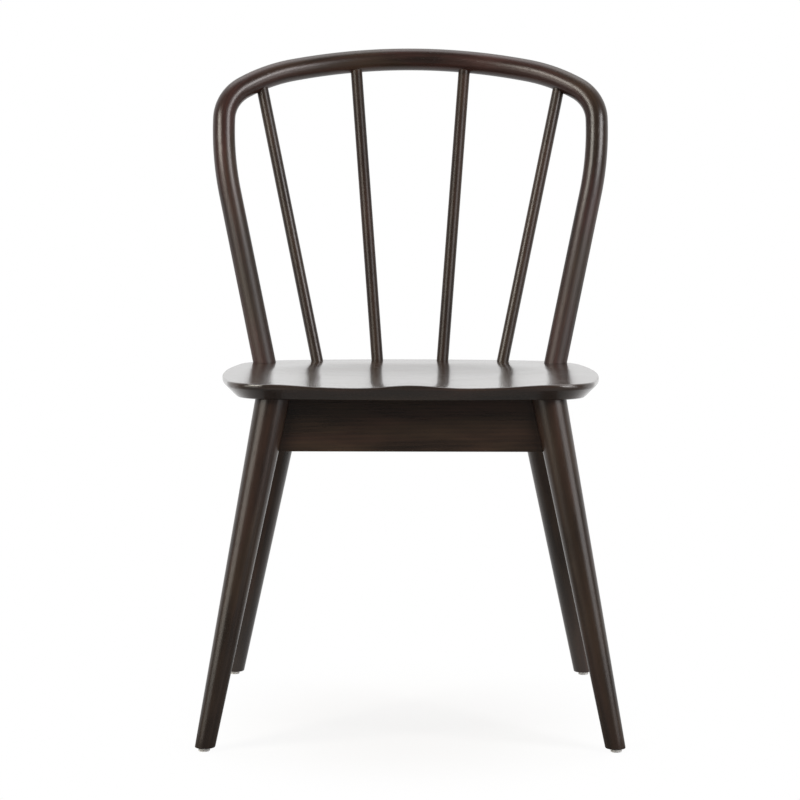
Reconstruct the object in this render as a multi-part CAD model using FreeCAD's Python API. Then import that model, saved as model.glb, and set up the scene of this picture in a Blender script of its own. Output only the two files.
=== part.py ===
import FreeCAD, Part

import math
import os

from FreeCAD import Placement, Rotation, Vector

# Hoop-back dining chair of stained wood, with four plain spindles.
# Millimetres, +Z up. The front faces -Y, and "left" is the -X side.
# While it is drawn, y = 0 is the middle of the seat's front edge and z = 0 is the floor.
# At the end the whole chair is moved so that the origin is under the middle of its box.

# Seat
SEAT_HEIGHT = 450.0
SEAT_THICKNESS = 20.0
SEAT_DEPTH = 428.0
SEAT_WIDTH = 480.0
SEAT_WIDEST_AT = 205.0
SEAT_TILT = 0.55
FRONT_EDGE_RADIUS = 1500.0
SIDE_EDGE_RADIUS = 776.0
REAR_EDGE_RADIUS = 700.0
FRONT_CORNER_RADIUS = 62.0
REAR_CORNER_RADIUS = 90.0
UPRIGHT_EDGE_HEIGHT = 6.0
UNDERCUT = SEAT_THICKNESS - UPRIGHT_EDGE_HEIGHT
UNDERCUT_SOFTENING = 5.0
UNDERSIDE_SOFTENING = 4.0
RIM_ROUNDING = 2.5

# Saddle of the seat: a wide bowl, open at the front, with a ridge between the thighs
SADDLE_DEPTH = 8.0
SADDLE_CENTRE_AT = 190.0
SADDLE_REACH_FRONT = 283.0
SADDLE_REAR_INSET = 83.0
SADDLE_REACH_REAR = SEAT_DEPTH - SADDLE_REAR_INSET - SADDLE_CENTRE_AT
SADDLE_SIDE_INSET = 57.0
SADDLE_HALF_WIDTH = SEAT_WIDTH / 2 - SADDLE_SIDE_INSET
SADDLE_SIDE_POWER = 3
SADDLE_EDGE_SOFTNESS = 0.8
RIDGE_HEIGHT = 5.0
RIDGE_WIDTH = 40.0
RIDGE_LENGTH = 200.0
SADDLE_GRID = 24.0
SADDLE_MARGIN = 36.0

# Legs, whose tops are set in from the seat's edges
LEG_TOP_DIAMETER = 42.0
LEG_FLOOR_DIAMETER = 24.4
FRONT_LEG_SIDE_INSET = 70.6
FRONT_LEG_INSET = 52.0
FRONT_LEG_SIDE_SPLAY = 10.9
FRONT_LEG_FORWARD_SPLAY = 6.4
REAR_LEG_SIDE_INSET = 81.0
REAR_LEG_INSET = 60.0
REAR_LEG_SIDE_SPLAY = 11.4
REAR_LEG_BACKWARD_SPLAY = 12.0
LEG_END_ROUNDING = 1.2

# Glides under the legs, each held by a nail
GLIDE_DIAMETER = 14.0
GLIDE_HEIGHT = 4.5
GLIDE_ROUNDING = 0.8
NAIL_DIAMETER = 2.5
NAIL_LENGTH = 18.0
NAIL_HEAD_DIAMETER = 6.0
NAIL_HEAD_HEIGHT = 1.0
NAIL_HEAD_SINK = 0.8

# Aprons between the legs, doweled to them
APRON_HEIGHT = 65.5
APRON_THICKNESS = 18.0
DOWEL_DIAMETER = 8.0
DOWEL_LENGTH = 36.0
DOWEL_IN_LEG = 15.0
CROSSWISE_DOWEL_DEPTHS = (13.0, 41.0)
LENGTHWISE_DOWEL_DEPTHS = (27.0, 55.0)

# Corner blocks and their screws
BLOCK_REACH = 88.0
BLOCK_HEIGHT = 28.0
SCREW_DIAMETER = 4.0
SCREW_HEAD_DIAMETER = 8.0
SCREW_HEAD_HEIGHT = 2.4
SCREW_POINT = 4.0
RECESS_WIDTH = 1.1
RECESS_SPAN = 4.6
RECESS_DEPTH = 1.4
APRON_SCREW_LENGTH = 28.0
APRON_SCREW_OFFSET = 50.0
APRON_SCREW_FLOOR = 4.0
APRON_SCREW_BITE = APRON_THICKNESS - APRON_SCREW_FLOOR
SEAT_SCREW_LENGTH = 31.0
SEAT_SCREW_OFFSET = 34.0
SEAT_SCREW_FLOOR = 7.5
SEAT_SCREW_BITE = SEAT_THICKNESS - SEAT_SCREW_FLOOR
HEAD_POCKET_GAP = 0.7

# Bow of the back: its front outline, drawn on a surface that leans and curves
BOW_DIAMETER = 30.4
BOW_FOOT_INSET = 43.7
BOW_FOOT_X = SEAT_WIDTH / 2 - BOW_FOOT_INSET
BOW_RISE = 412.0
ARM_SPLAY = 12.0
LOWER_SHOULDER_RADIUS = 435.0
LOWER_SHOULDER_TURN = 13.4
CORNER_RADIUS = 50.0
CORNER_TURN = 58.0
UPPER_SHOULDER_RADIUS = 213.0
UPPER_SHOULDER_TURN = 19.2
BACK_LINE_INSET = 20.5
BACK_LINE_AT = SEAT_DEPTH - BACK_LINE_INSET
BACK_LEAN = 16.5
BACK_CURVE_RADIUS = 450.0
BOW_TENON_DIAMETER = 20.0
BOW_SOCKET_FLOOR = 4.5
BOW_TENON_LENGTH = SEAT_THICKNESS - BOW_SOCKET_FLOOR
BOW_SPAN_LENGTH = 80.0
BOW_SPAN_TURN = 20.0

# Spindles: the inner ones are placed from the chair's middle, the outer ones from the bow's feet
SPINDLE_DIAMETER = 16.0
SPINDLE_TENON_DIAMETER = 10.0
SPINDLE_SOCKET_FLOOR = 5.5
SPINDLE_TENON_IN_SEAT = SEAT_THICKNESS - SPINDLE_SOCKET_FLOOR
SPINDLE_TENON_IN_BOW = 12.0
INNER_SPINDLE_FOOT_X = 44.5
INNER_SPINDLE_TOP_X = 76.2
OUTER_SPINDLE_FOOT_INSET = 70.3
OUTER_SPINDLE_TOP_OUTSET = 10.2
SPINDLES = {
    "inner": (INNER_SPINDLE_FOOT_X, INNER_SPINDLE_TOP_X),
    "outer": (BOW_FOOT_X - OUTER_SPINDLE_FOOT_INSET, BOW_FOOT_X + OUTER_SPINDLE_TOP_OUTSET),
}

# Clearances
GLUE_GAP = 0.1
SHOULDER_GAP = 0.15
HOLE_END_GAP = 0.5

# What counts as level and as straight, and a length greater than the chair's
LEVEL_WITHIN = 1e-3
STRAIGHT_WITHIN = 1e-6
REACH = 1000.0

SIDES = {"left": -1, "right": 1}
UP = Vector(0, 0, 1)


# Small helpers

def tangent_of(degrees):
    return math.tan(math.radians(degrees))


def unit(vector):
    return Vector(vector).normalize()


def rod(start, direction, length, radius):
    return Part.makeCylinder(radius, length, start, unit(direction))


def slab_below_seat(top, bottom):
    """A wide slab parallel to the seat, between two depths under its rim plane."""
    slab = Part.makeBox(2 * REACH, 2 * REACH, bottom - top, Vector(-REACH, -REACH, -bottom))
    slab.Placement = seat_placement()
    return slab


def main_solid(shape):
    """The one piece that is left in use after a blank has been trimmed."""
    return max(shape.Solids, key=lambda solid: solid.Volume)


def cut_all(shape, tools):
    return shape.cut(Part.makeCompound(list(tools))) if tools else shape


# Seat

def seat_placement():
    return Placement(Vector(0, 0, SEAT_HEIGHT), Rotation(Vector(1, 0, 0), -SEAT_TILT))


def seat_top_z(y):
    return SEAT_HEIGHT - tangent_of(SEAT_TILT) * y


def corner_centre(long_arc, other_arc, radius):
    """Centre of the corner's arc, which touches two long arcs from the inside."""
    first, first_reach = long_arc[0], long_arc[1] - radius
    second, second_reach = other_arc[0], other_arc[1] - radius
    line = second - first
    along = (first_reach ** 2 - second_reach ** 2 + line.Length ** 2) / (2 * line.Length)
    aside = math.sqrt(first_reach ** 2 - along ** 2)
    across = unit(line.cross(UP))
    found = [first + unit(line) * along + across * side for side in (aside, -aside)]
    return max(found, key=lambda point: point.x)


def seat_outline():
    """The seat's plan: four long arcs joined by four corner arcs, as one wire."""
    front = (Vector(0, FRONT_EDGE_RADIUS, 0), FRONT_EDGE_RADIUS)
    side = (Vector(SEAT_WIDTH / 2 - SIDE_EDGE_RADIUS, SEAT_WIDEST_AT, 0), SIDE_EDGE_RADIUS)
    rear = (Vector(0, SEAT_DEPTH - REAR_EDGE_RADIUS, 0), REAR_EDGE_RADIUS)
    corners = ((front, side, FRONT_CORNER_RADIUS), (side, rear, REAR_CORNER_RADIUS))
    right = []
    for first, second, radius in corners:
        centre = corner_centre(first, second, radius)
        ends = [centre + unit(centre - arc[0]) * radius for arc in (first, second)]
        middle = centre + unit(ends[0] + ends[1] - centre * 2) * radius
        right += [ends[0], middle, ends[1], Vector(SEAT_WIDTH / 2, SEAT_WIDEST_AT, 0)]
    right.pop()
    left = [Vector(-point.x, point.y, 0) for point in reversed(right)]
    marks = left[-1:] + [Vector(0, 0, 0)] + right + [Vector(0, SEAT_DEPTH, 0)] + left
    return Part.Wire([Part.Arc(*marks[start:start + 3]).toShape() for start in range(0, len(marks) - 2, 2)])


def edges_at_height(shape, z):
    """The edges of a shape that lie in one level plane."""
    flat = []
    for edge in shape.Edges:
        box = edge.BoundBox
        if max(abs(box.ZMin - z), abs(box.ZMax - z)) < LEVEL_WITHIN:
            flat.append(edge)
    return flat


def saddle_depth(x, y):
    """How deep the sitting surface lies under the rim plane."""
    reach = SADDLE_REACH_FRONT if y < SADDLE_CENTRE_AT else SADDLE_REACH_REAR
    lengthwise = ((y - SADDLE_CENTRE_AT) / reach) ** 2
    crosswise = (abs(x) / SADDLE_HALF_WIDTH) ** SADDLE_SIDE_POWER
    bowl = SADDLE_DEPTH * (1 - lengthwise - crosswise)
    fade = max(0.0, 1 - y / RIDGE_LENGTH) ** 2
    ridge = RIDGE_HEIGHT * math.exp(-((x / RIDGE_WIDTH) ** 2)) * fade
    depth = bowl - ridge
    soft_edge = SADDLE_EDGE_SOFTNESS * math.log1p(math.exp(-abs(depth) / SADDLE_EDGE_SOFTNESS))
    return max(depth, 0.0) + soft_edge


def stations(first, last, spacing):
    count = max(2, math.ceil((last - first) / spacing))
    return [first + (last - first) * step / count for step in range(count + 1)]


def saddle_cutter():
    """The solid above the sitting surface, which is one smooth surface through a grid."""
    half = SEAT_WIDTH / 2 + SADDLE_MARGIN
    rows = stations(-SADDLE_MARGIN, SEAT_DEPTH + SADDLE_MARGIN, SADDLE_GRID)
    grid = []
    for x in stations(-half, half, SADDLE_GRID):
        grid.append([Vector(x, y, -saddle_depth(x, y)) for y in rows])
    surface = Part.BSplineSurface()
    surface.interpolate(grid)
    return surface.toShape().extrude(UP * (2 * SEAT_THICKNESS))


def seat_panel():
    """The board with its undercut edge, its saddled top and its rounded rim."""
    board = Part.Face(seat_outline()).extrude(UP * (SEAT_THICKNESS + SADDLE_DEPTH))
    board.translate(UP * -SEAT_THICKNESS)
    board = board.makeChamfer(UNDERCUT, edges_at_height(board, -SEAT_THICKNESS))
    arris = edges_at_height(board, UNDERCUT - SEAT_THICKNESS)
    board = board.makeFillet(UNDERCUT_SOFTENING, arris)
    board = board.makeFillet(UNDERSIDE_SOFTENING, edges_at_height(board, -SEAT_THICKNESS))
    board = main_solid(board.cut(saddle_cutter()))
    sitting_surface = max(board.Faces, key=lambda face: face.CenterOfMass.z + face.Area)
    board = board.makeFillet(RIM_ROUNDING, sitting_surface.OuterWire.Edges)
    board.fix(LEVEL_WITHIN, LEVEL_WITHIN, LEVEL_WITHIN)
    board = main_solid(board)
    board.Placement = seat_placement()
    return board


# Legs

class Leg:
    """A round tapered leg, from the seat's underside down to its glide."""

    def __init__(self, top_x, top_y, side_splay, lengthwise_splay):
        top_z = seat_top_z(top_y) - SEAT_THICKNESS / math.cos(math.radians(SEAT_TILT))
        self.top = Vector(top_x, top_y, top_z)
        sideways = math.copysign(tangent_of(side_splay), top_x)
        self.fall = Vector(sideways, tangent_of(lengthwise_splay), -1)
        self.foot = self.at_depth(top_z)

    def at_depth(self, depth):
        """A point on the axis, so far below the leg's top."""
        return self.top + self.fall * depth

    def radius_at_depth(self, depth):
        share = depth / self.top.z
        return (LEG_TOP_DIAMETER + (LEG_FLOOR_DIAMETER - LEG_TOP_DIAMETER) * share) / 2

    def blank(self, grow=0.0):
        """The plain cone, past both ends, grown by a clearance where asked."""
        above = -2 * SEAT_THICKNESS
        below = self.top.z + 2 * SEAT_THICKNESS
        start = self.at_depth(above)
        run = self.at_depth(below) - start
        return Part.makeCone(
            self.radius_at_depth(above) + grow,
            self.radius_at_depth(below) + grow,
            run.Length, start, unit(run))

    def solid(self):
        stock = self.blank().common(slab_below_seat(SEAT_THICKNESS, REACH))
        below = Part.makeBox(2 * REACH, 2 * REACH, REACH, Vector(-REACH, -REACH, GLIDE_HEIGHT - REACH))
        leg = main_solid(stock.cut(below))
        return leg.makeFillet(LEG_END_ROUNDING, edges_at_height(leg, GLIDE_HEIGHT))


def make_legs():
    front_x = SEAT_WIDTH / 2 - FRONT_LEG_SIDE_INSET
    rear_x = SEAT_WIDTH / 2 - REAR_LEG_SIDE_INSET
    rear_y = SEAT_DEPTH - REAR_LEG_INSET
    legs = {}
    for side, sign in SIDES.items():
        legs["front_" + side] = Leg(
            sign * front_x, FRONT_LEG_INSET, FRONT_LEG_SIDE_SPLAY, -FRONT_LEG_FORWARD_SPLAY)
        legs["rear_" + side] = Leg(
            sign * rear_x, rear_y, REAR_LEG_SIDE_SPLAY, REAR_LEG_BACKWARD_SPLAY)
    return legs


# Glides and their nails

def glide(leg):
    base = Vector(leg.foot.x, leg.foot.y, 0)
    disc = Part.makeCylinder(GLIDE_DIAMETER / 2, GLIDE_HEIGHT, base)
    disc = disc.makeFillet(GLIDE_ROUNDING, edges_at_height(disc, 0))
    return disc.cut(nail_hole(leg))


def nail(leg):
    base = Vector(leg.foot.x, leg.foot.y, NAIL_HEAD_SINK)
    head = Part.makeCylinder(NAIL_HEAD_DIAMETER / 2, NAIL_HEAD_HEIGHT, base)
    shank_length = NAIL_LENGTH - NAIL_DIAMETER
    shank = Part.makeCylinder(NAIL_DIAMETER / 2, shank_length, base)
    point = Part.makeCone(NAIL_DIAMETER / 2, 0, NAIL_DIAMETER, base + UP * shank_length)
    return head.fuse([shank, point]).removeSplitter()


def nail_hole(leg):
    base = Vector(leg.foot.x, leg.foot.y, 0)
    pocket_height = NAIL_HEAD_SINK + NAIL_HEAD_HEIGHT + GLUE_GAP
    pocket = Part.makeCylinder(NAIL_HEAD_DIAMETER / 2 + GLUE_GAP, pocket_height, base)
    length = NAIL_HEAD_SINK + NAIL_LENGTH + HOLE_END_GAP
    return pocket.fuse(Part.makeCylinder(NAIL_DIAMETER / 2 + GLUE_GAP, length, base))


# Aprons and their dowels

class Apron:
    """A board in the plane of two leg axes, coped round both legs."""

    def __init__(self, first, second, dowel_depths):
        self.legs = (first, second)
        self.along = unit(second.top - first.top)
        self.dowel_depths = dowel_depths
        normal = self.along.cross(first.fall + second.fall)
        middle = (first.top + second.top) * 0.5
        seat_middle = Vector(0, SEAT_DEPTH / 2, middle.z)
        self.inward = unit(normal if normal.dot(seat_middle - middle) > 0 else normal * -1)

    def on_outer_face(self, point):
        return point - self.inward * (point - self.legs[0].top).dot(self.inward)

    def board(self):
        above = -SEAT_THICKNESS
        below = APRON_HEIGHT + SEAT_THICKNESS
        first, second = self.legs
        corners = [first.at_depth(above), first.at_depth(below),
                   second.at_depth(below), second.at_depth(above)]
        corners = [self.on_outer_face(corner) for corner in corners]
        face = Part.Face(Part.makePolygon(corners + corners[:1]))
        board = face.extrude(self.inward * APRON_THICKNESS)
        board = board.common(slab_below_seat(SEAT_THICKNESS, SEAT_THICKNESS + APRON_HEIGHT))
        return main_solid(cut_all(board, [leg.blank(SHOULDER_GAP) for leg in self.legs]))

    def dowels(self, grow=0.0, longer=0.0):
        """The dowels of both ends, at mid thickness of the board."""
        found = []
        for leg, direction in zip(self.legs, (self.along, self.along * -1)):
            for depth in self.dowel_depths:
                axis = self.on_outer_face(leg.at_depth(depth)) + self.inward * (APRON_THICKNESS / 2)
                cope = math.sqrt(leg.radius_at_depth(depth) ** 2 - (APRON_THICKNESS / 2) ** 2)
                start = axis + direction * (cope - DOWEL_IN_LEG - longer)
                found.append(rod(start, direction, DOWEL_LENGTH + 2 * longer, DOWEL_DIAMETER / 2 + grow))
        return found

    def dowel_holes(self):
        return self.dowels(GLUE_GAP, HOLE_END_GAP)


def make_aprons(legs):
    crosswise, lengthwise = CROSSWISE_DOWEL_DEPTHS, LENGTHWISE_DOWEL_DEPTHS
    return {
        "front": Apron(legs["front_left"], legs["front_right"], crosswise),
        "rear": Apron(legs["rear_left"], legs["rear_right"], crosswise),
        "left": Apron(legs["front_left"], legs["rear_left"], lengthwise),
        "right": Apron(legs["front_right"], legs["rear_right"], lengthwise),
    }


# Screws and corner blocks

def screw(head_base, direction, length):
    """A round-head wood screw whose head rests at head_base and whose point leads."""
    radius = SCREW_DIAMETER / 2
    head = Part.makeCylinder(SCREW_HEAD_DIAMETER / 2, SCREW_HEAD_HEIGHT, Vector(0, 0, -SCREW_HEAD_HEIGHT))
    head = head.makeFillet(SCREW_HEAD_HEIGHT / 2, edges_at_height(head, -SCREW_HEAD_HEIGHT))
    shank = Part.makeCylinder(radius, length - SCREW_POINT)
    point = Part.makeCone(radius, 0, SCREW_POINT, UP * (length - SCREW_POINT))
    body = head.fuse([shank, point]).removeSplitter()
    for turn in (0, 90):
        slot = Part.makeBox(RECESS_SPAN, RECESS_WIDTH, RECESS_DEPTH)
        slot.translate(Vector(-RECESS_SPAN / 2, -RECESS_WIDTH / 2, -SCREW_HEAD_HEIGHT))
        slot.rotate(Vector(), UP, turn)
        body = body.cut(slot)
    body.Placement = Placement(head_base, Rotation(UP, direction))
    return body


def screw_hole(head_base, direction, length, pocket):
    shank = rod(head_base, direction, length + HOLE_END_GAP, SCREW_DIAMETER / 2 + GLUE_GAP)
    head_pocket = rod(head_base, direction * -1, pocket, SCREW_HEAD_DIAMETER / 2 + HEAD_POCKET_GAP)
    return shank.fuse(head_pocket)


class CornerBlock:
    """A three-cornered block under the seat that ties two aprons and the seat together."""

    def __init__(self, leg, crosswise, lengthwise):
        self.leg = leg
        self.aprons = (crosswise, lengthwise)
        self.ways = [self.way_along(apron) for apron in self.aprons]

    def way_along(self, apron):
        return apron.along if leg_is_first(apron, self.leg) else apron.along * -1

    def apron_screw_lines(self):
        """Head seat and direction of the two screws that run out into the aprons."""
        lines = []
        for apron, way in zip(self.aprons, self.ways):
            at_leg = apron.on_outer_face(self.leg.at_depth(BLOCK_HEIGHT / 2))
            deep = APRON_THICKNESS - APRON_SCREW_BITE + APRON_SCREW_LENGTH
            lines.append((at_leg + way * APRON_SCREW_OFFSET + apron.inward * deep, apron.inward * -1))
        return lines

    def seat_screw_line(self):
        """Head seat and direction of the screw that runs up into the seat."""
        upright = seat_placement().Rotation.multVec(UP)
        under_seat = self.leg.top + (self.ways[0] + self.ways[1]) * SEAT_SCREW_OFFSET
        return under_seat - upright * (SEAT_SCREW_LENGTH - SEAT_SCREW_BITE), upright

    def screw_holes(self):
        pocket = BLOCK_REACH
        holes = [screw_hole(base, way, APRON_SCREW_LENGTH, pocket) for base, way in self.apron_screw_lines()]
        base, way = self.seat_screw_line()
        return holes + [screw_hole(base, way, SEAT_SCREW_LENGTH, pocket)]

    def solid(self, apron_boards, leg_blank):
        above = self.leg.top + UP * SEAT_THICKNESS
        corners = [above, above + self.ways[0] * BLOCK_REACH, above + self.ways[1] * BLOCK_REACH]
        wedge = Part.Face(Part.makePolygon(corners + corners[:1]))
        wedge = wedge.extrude(UP * -(BLOCK_HEIGHT + 2 * SEAT_THICKNESS))
        wedge = wedge.common(slab_below_seat(SEAT_THICKNESS, SEAT_THICKNESS + BLOCK_HEIGHT))
        wedge = main_solid(cut_all(wedge, apron_boards + [leg_blank]))
        return cut_all(wedge, self.screw_holes())


def leg_is_first(apron, leg):
    return apron.legs[0] is leg


# Bow of the back

def back_point(x, rise):
    """A point of the leaning, curved surface that the bow and the spindles follow."""
    y = BACK_LINE_AT - x * x / (2 * BACK_CURVE_RADIUS) + tangent_of(BACK_LEAN) * rise
    return Vector(x, y, seat_top_z(BACK_LINE_AT) + rise)


def back_direction(x, heading):
    """Direction on that surface, where heading is the angle from upright, outwards."""
    across, upward = math.sin(heading), math.cos(heading)
    return unit(Vector(across, tangent_of(BACK_LEAN) * upward - x / BACK_CURVE_RADIUS * across, upward))


class Arc:
    """One stretch of the bow's front outline, turning inwards as it climbs."""

    def __init__(self, x, rise, heading, turn, radius):
        self.heading, self.turn, self.radius = heading, turn, radius
        self.centre_x = x - radius * math.cos(heading)
        self.centre_rise = rise + radius * math.sin(heading)

    def at(self, share):
        heading = self.heading - self.turn * share
        x = self.centre_x + self.radius * math.cos(heading)
        return x, self.centre_rise - self.radius * math.sin(heading), heading

    def rise_above(self, x):
        return self.centre_rise + math.sqrt(self.radius ** 2 - (x - self.centre_x) ** 2)


def bow_outline():
    """The straight arm's length and the arcs of the right half, from foot to crest.

    The arm is as long as the rise asks, and the crest's arc ends level at the middle.
    """
    splay = math.radians(ARM_SPLAY)
    shoulders = (
        (math.radians(LOWER_SHOULDER_TURN), LOWER_SHOULDER_RADIUS),
        (math.radians(CORNER_TURN), CORNER_RADIUS),
        (math.radians(UPPER_SHOULDER_TURN), UPPER_SHOULDER_RADIUS),
    )
    x, rise, heading = shoulder_run(0.0, 0.0, splay, shoulders)[1]
    crest_turn = math.pi / 2 + heading
    half = math.tan(crest_turn / 2)
    arm = (BOW_RISE - rise - (BOW_FOOT_X + x) * half) / (math.cos(splay) + math.sin(splay) * half)
    start_x = BOW_FOOT_X + arm * math.sin(splay)
    arcs, end = shoulder_run(start_x, arm * math.cos(splay), splay, shoulders)
    arcs.append(Arc(end[0], end[1], end[2], crest_turn, end[0] / math.sin(crest_turn)))
    return arm, arcs


def shoulder_run(x, rise, heading, shoulders):
    arcs = []
    for turn, radius in shoulders:
        arcs.append(Arc(x, rise, heading, turn, radius))
        x, rise, heading = arcs[-1].at(1.0)
    return arcs, (x, rise, heading)


def bow_stations():
    """Points and directions along the whole bow, from the right foot to the left."""
    arm, arcs = bow_outline()
    splay = math.radians(ARM_SPLAY)
    spans = math.ceil(arm / BOW_SPAN_LENGTH)
    half = []
    for step in range(spans):
        reach = arm * step / spans
        half.append((BOW_FOOT_X + reach * math.sin(splay), reach * math.cos(splay), splay))
    for arc in arcs:
        by_length = arc.turn * arc.radius / BOW_SPAN_LENGTH
        by_turn = math.degrees(arc.turn) / BOW_SPAN_TURN
        spans = math.ceil(max(by_length, by_turn))
        half.extend(arc.at(step / spans) for step in range(spans))
    right = [(back_point(x, rise), back_direction(x, heading)) for x, rise, heading in half]
    crest = [(back_point(0, BOW_RISE), Vector(-1, 0, 0))]
    left = [(Vector(-point.x, point.y, point.z), Vector(way.x, -way.y, -way.z))
            for point, way in reversed(right)]
    return right + crest + left


def arc_edge(start, way, end):
    """The arc that leaves start along way and ends at end."""
    chord = end - start
    sideways = way - unit(chord) * way.dot(unit(chord))
    if sideways.Length < STRAIGHT_WITHIN:
        return Part.LineSegment(start, end).toShape()
    bulge = chord.Length / 2 * math.tan(way.getAngle(chord) / 2)
    return Part.Arc(start, start + chord * 0.5 + unit(sideways) * bulge, end).toShape()


def arc_pair(start, way, end, end_way):
    """Two arcs that meet smoothly and join two points in two given directions."""
    gap = end - start
    both = gap.dot(way + end_way)
    bend = 2 * (1 - way.dot(end_way))
    if bend < STRAIGHT_WITHIN:
        reach = gap.dot(gap) / (4 * gap.dot(end_way))
    else:
        reach = (math.sqrt(both ** 2 + bend * gap.dot(gap)) - both) / bend
    joint = (start + end + (way - end_way) * reach) * 0.5
    joint_way = end - end_way * reach - (start + way * reach)
    return [arc_edge(start, way, joint), arc_edge(joint, joint_way, end)]


def bow_tube(grow=0.0):
    """The round bow along its path, past the seat's top at both feet."""
    marks = bow_stations()
    spare = 2 * SEAT_THICKNESS
    first, first_way = marks[0]
    last, last_way = marks[-1]
    edges = [Part.LineSegment(first - first_way * spare, first).toShape()]
    for (start, way), (end, end_way) in zip(marks, marks[1:]):
        edges.extend(arc_pair(start, way, end, end_way))
    edges.append(Part.LineSegment(last, last + last_way * spare).toShape())
    ring = Part.Circle(first - first_way * spare, first_way, BOW_DIAMETER / 2 + grow)
    return Part.Wire(edges).makePipeShell([Part.Wire([ring.toShape()])], True, False)


def bow_feet():
    marks = bow_stations()
    return [(marks[0][0], marks[0][1]), (marks[-1][0], marks[-1][1] * -1)]


def bow_tenons(grow=0.0, longer=0.0):
    """The bow's round tenons, from inside the bow down into the seat."""
    tenons = []
    for foot, way in bow_feet():
        length = BOW_TENON_LENGTH + longer
        tenons.append(rod(foot - way * length, way, length + BOW_DIAMETER, BOW_TENON_DIAMETER / 2 + grow))
    return tenons


# Spindles

class Spindle:
    """A straight round spindle between the seat and the bow, with a tenon at each end."""

    def __init__(self, foot_x, top_x, sign):
        self.foot = back_point(sign * foot_x, 0.0)
        self.top = back_point(sign * top_x, self.rise_at(top_x))
        self.way = unit(self.top - self.foot)

    def rise_at(self, x):
        """Rise of the bow's centre line over x, on the first arc that reaches inwards to it."""
        arcs = bow_outline()[1]
        spanning = [arc for arc in arcs[:-1] if arc.at(1.0)[0] <= x]
        return (spanning + arcs[-1:])[0].rise_above(x)

    def body(self, seat_side, bow_clearance):
        stock = rod(self.foot - self.way * SPINDLE_DIAMETER, self.way,
                    (self.top - self.foot).Length + SPINDLE_DIAMETER, SPINDLE_DIAMETER / 2)
        return main_solid(cut_all(stock, [seat_side, bow_clearance]))

    def tenons(self, grow=0.0, longer=0.0):
        radius = SPINDLE_TENON_DIAMETER / 2 + grow
        low = rod(self.foot - self.way * (SPINDLE_TENON_IN_SEAT + longer), self.way,
                  SPINDLE_TENON_IN_SEAT + longer + SPINDLE_DIAMETER, radius)
        surface = BOW_DIAMETER / 2
        length = SPINDLE_TENON_IN_BOW + longer + SPINDLE_DIAMETER
        high = rod(self.top - self.way * (surface + SPINDLE_DIAMETER), self.way, length, radius)
        return [low, high]


def make_spindles():
    spindles = {}
    for side, sign in SIDES.items():
        for place, (foot_x, top_x) in SPINDLES.items():
            spindles[side + "_" + place] = Spindle(foot_x, top_x, sign)
    return spindles


# Assembly

def build_base(pieces, legs, aprons, blocks):
    """The legs, aprons, corner blocks and everything that fastens them."""
    all_dowel_holes = [hole for apron in aprons.values() for hole in apron.dowel_holes()]
    all_screw_holes = [hole for block in blocks.values() for hole in block.screw_holes()]
    boards = {name: apron.board() for name, apron in aprons.items()}
    for side in SIDES:
        boards[side] = main_solid(cut_all(boards[side], [boards["front"], boards["rear"]]))
    for name, leg in legs.items():
        pieces["leg_" + name] = cut_all(leg.solid(), all_dowel_holes + [nail_hole(leg)])
        pieces["glide_" + name] = glide(leg)
    for name, board in boards.items():
        pieces["apron_" + name] = cut_all(board, all_dowel_holes + all_screw_holes)
    for name, block in blocks.items():
        pieces["corner_block_" + name] = block.solid(list(boards.values()), block.leg.blank(SHOULDER_GAP))
    pieces["glide_nails"] = Part.makeCompound([nail(leg) for leg in legs.values()])
    for name, apron in aprons.items():
        pieces["apron_dowels_" + name] = Part.makeCompound(apron.dowels())
    apron_screws = [screw(base, way, APRON_SCREW_LENGTH)
                    for block in blocks.values() for base, way in block.apron_screw_lines()]
    seat_screws = [screw(*block.seat_screw_line(), SEAT_SCREW_LENGTH) for block in blocks.values()]
    pieces["apron_screws"] = Part.makeCompound(apron_screws)
    pieces["seat_screws"] = Part.makeCompound(seat_screws)


def build_back(pieces, spindles):
    """The bow and the spindles, each with its tenons."""
    seat_side = slab_below_seat(-SHOULDER_GAP, REACH)
    bow = main_solid(bow_tube().cut(seat_side))
    bow = bow.fuse(bow_tenons()).removeSplitter()
    top_sockets = [spindle.tenons(GLUE_GAP, HOLE_END_GAP)[1] for spindle in spindles.values()]
    pieces["back_bow"] = cut_all(bow, top_sockets)
    bow_clearance = bow_tube(SHOULDER_GAP)
    for name, spindle in spindles.items():
        body = spindle.body(seat_side, bow_clearance)
        pieces["spindle_" + name] = body.fuse(spindle.tenons()).removeSplitter()


def build_seat(pieces, blocks, spindles):
    """The seat, drilled for the bow, the spindles and the seat screws."""
    sockets = bow_tenons(GLUE_GAP, HOLE_END_GAP)
    sockets += [spindle.tenons(GLUE_GAP, HOLE_END_GAP)[0] for spindle in spindles.values()]
    sockets += [block.screw_holes()[-1] for block in blocks.values()]
    pieces["seat_panel"] = cut_all(seat_panel(), sockets)


def build_chair():
    legs = make_legs()
    aprons = make_aprons(legs)
    spindles = make_spindles()
    blocks = {}
    for name, leg in legs.items():
        row, side = name.split("_")
        blocks[name] = CornerBlock(leg, aprons[row], aprons[side])
    pieces = {}
    build_seat(pieces, blocks, spindles)
    build_back(pieces, spindles)
    build_base(pieces, legs, aprons, blocks)
    return pieces


def centre_on_floor(pieces):
    """Move every piece so that the origin lies under the middle of the chair's box."""
    box = Part.makeCompound(list(pieces.values())).optimalBoundingBox(False, False)
    shift = Vector(-box.Center.x, -box.Center.y, -box.ZMin)
    for piece in pieces.values():
        piece.translate(shift)
    return shift, box


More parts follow.
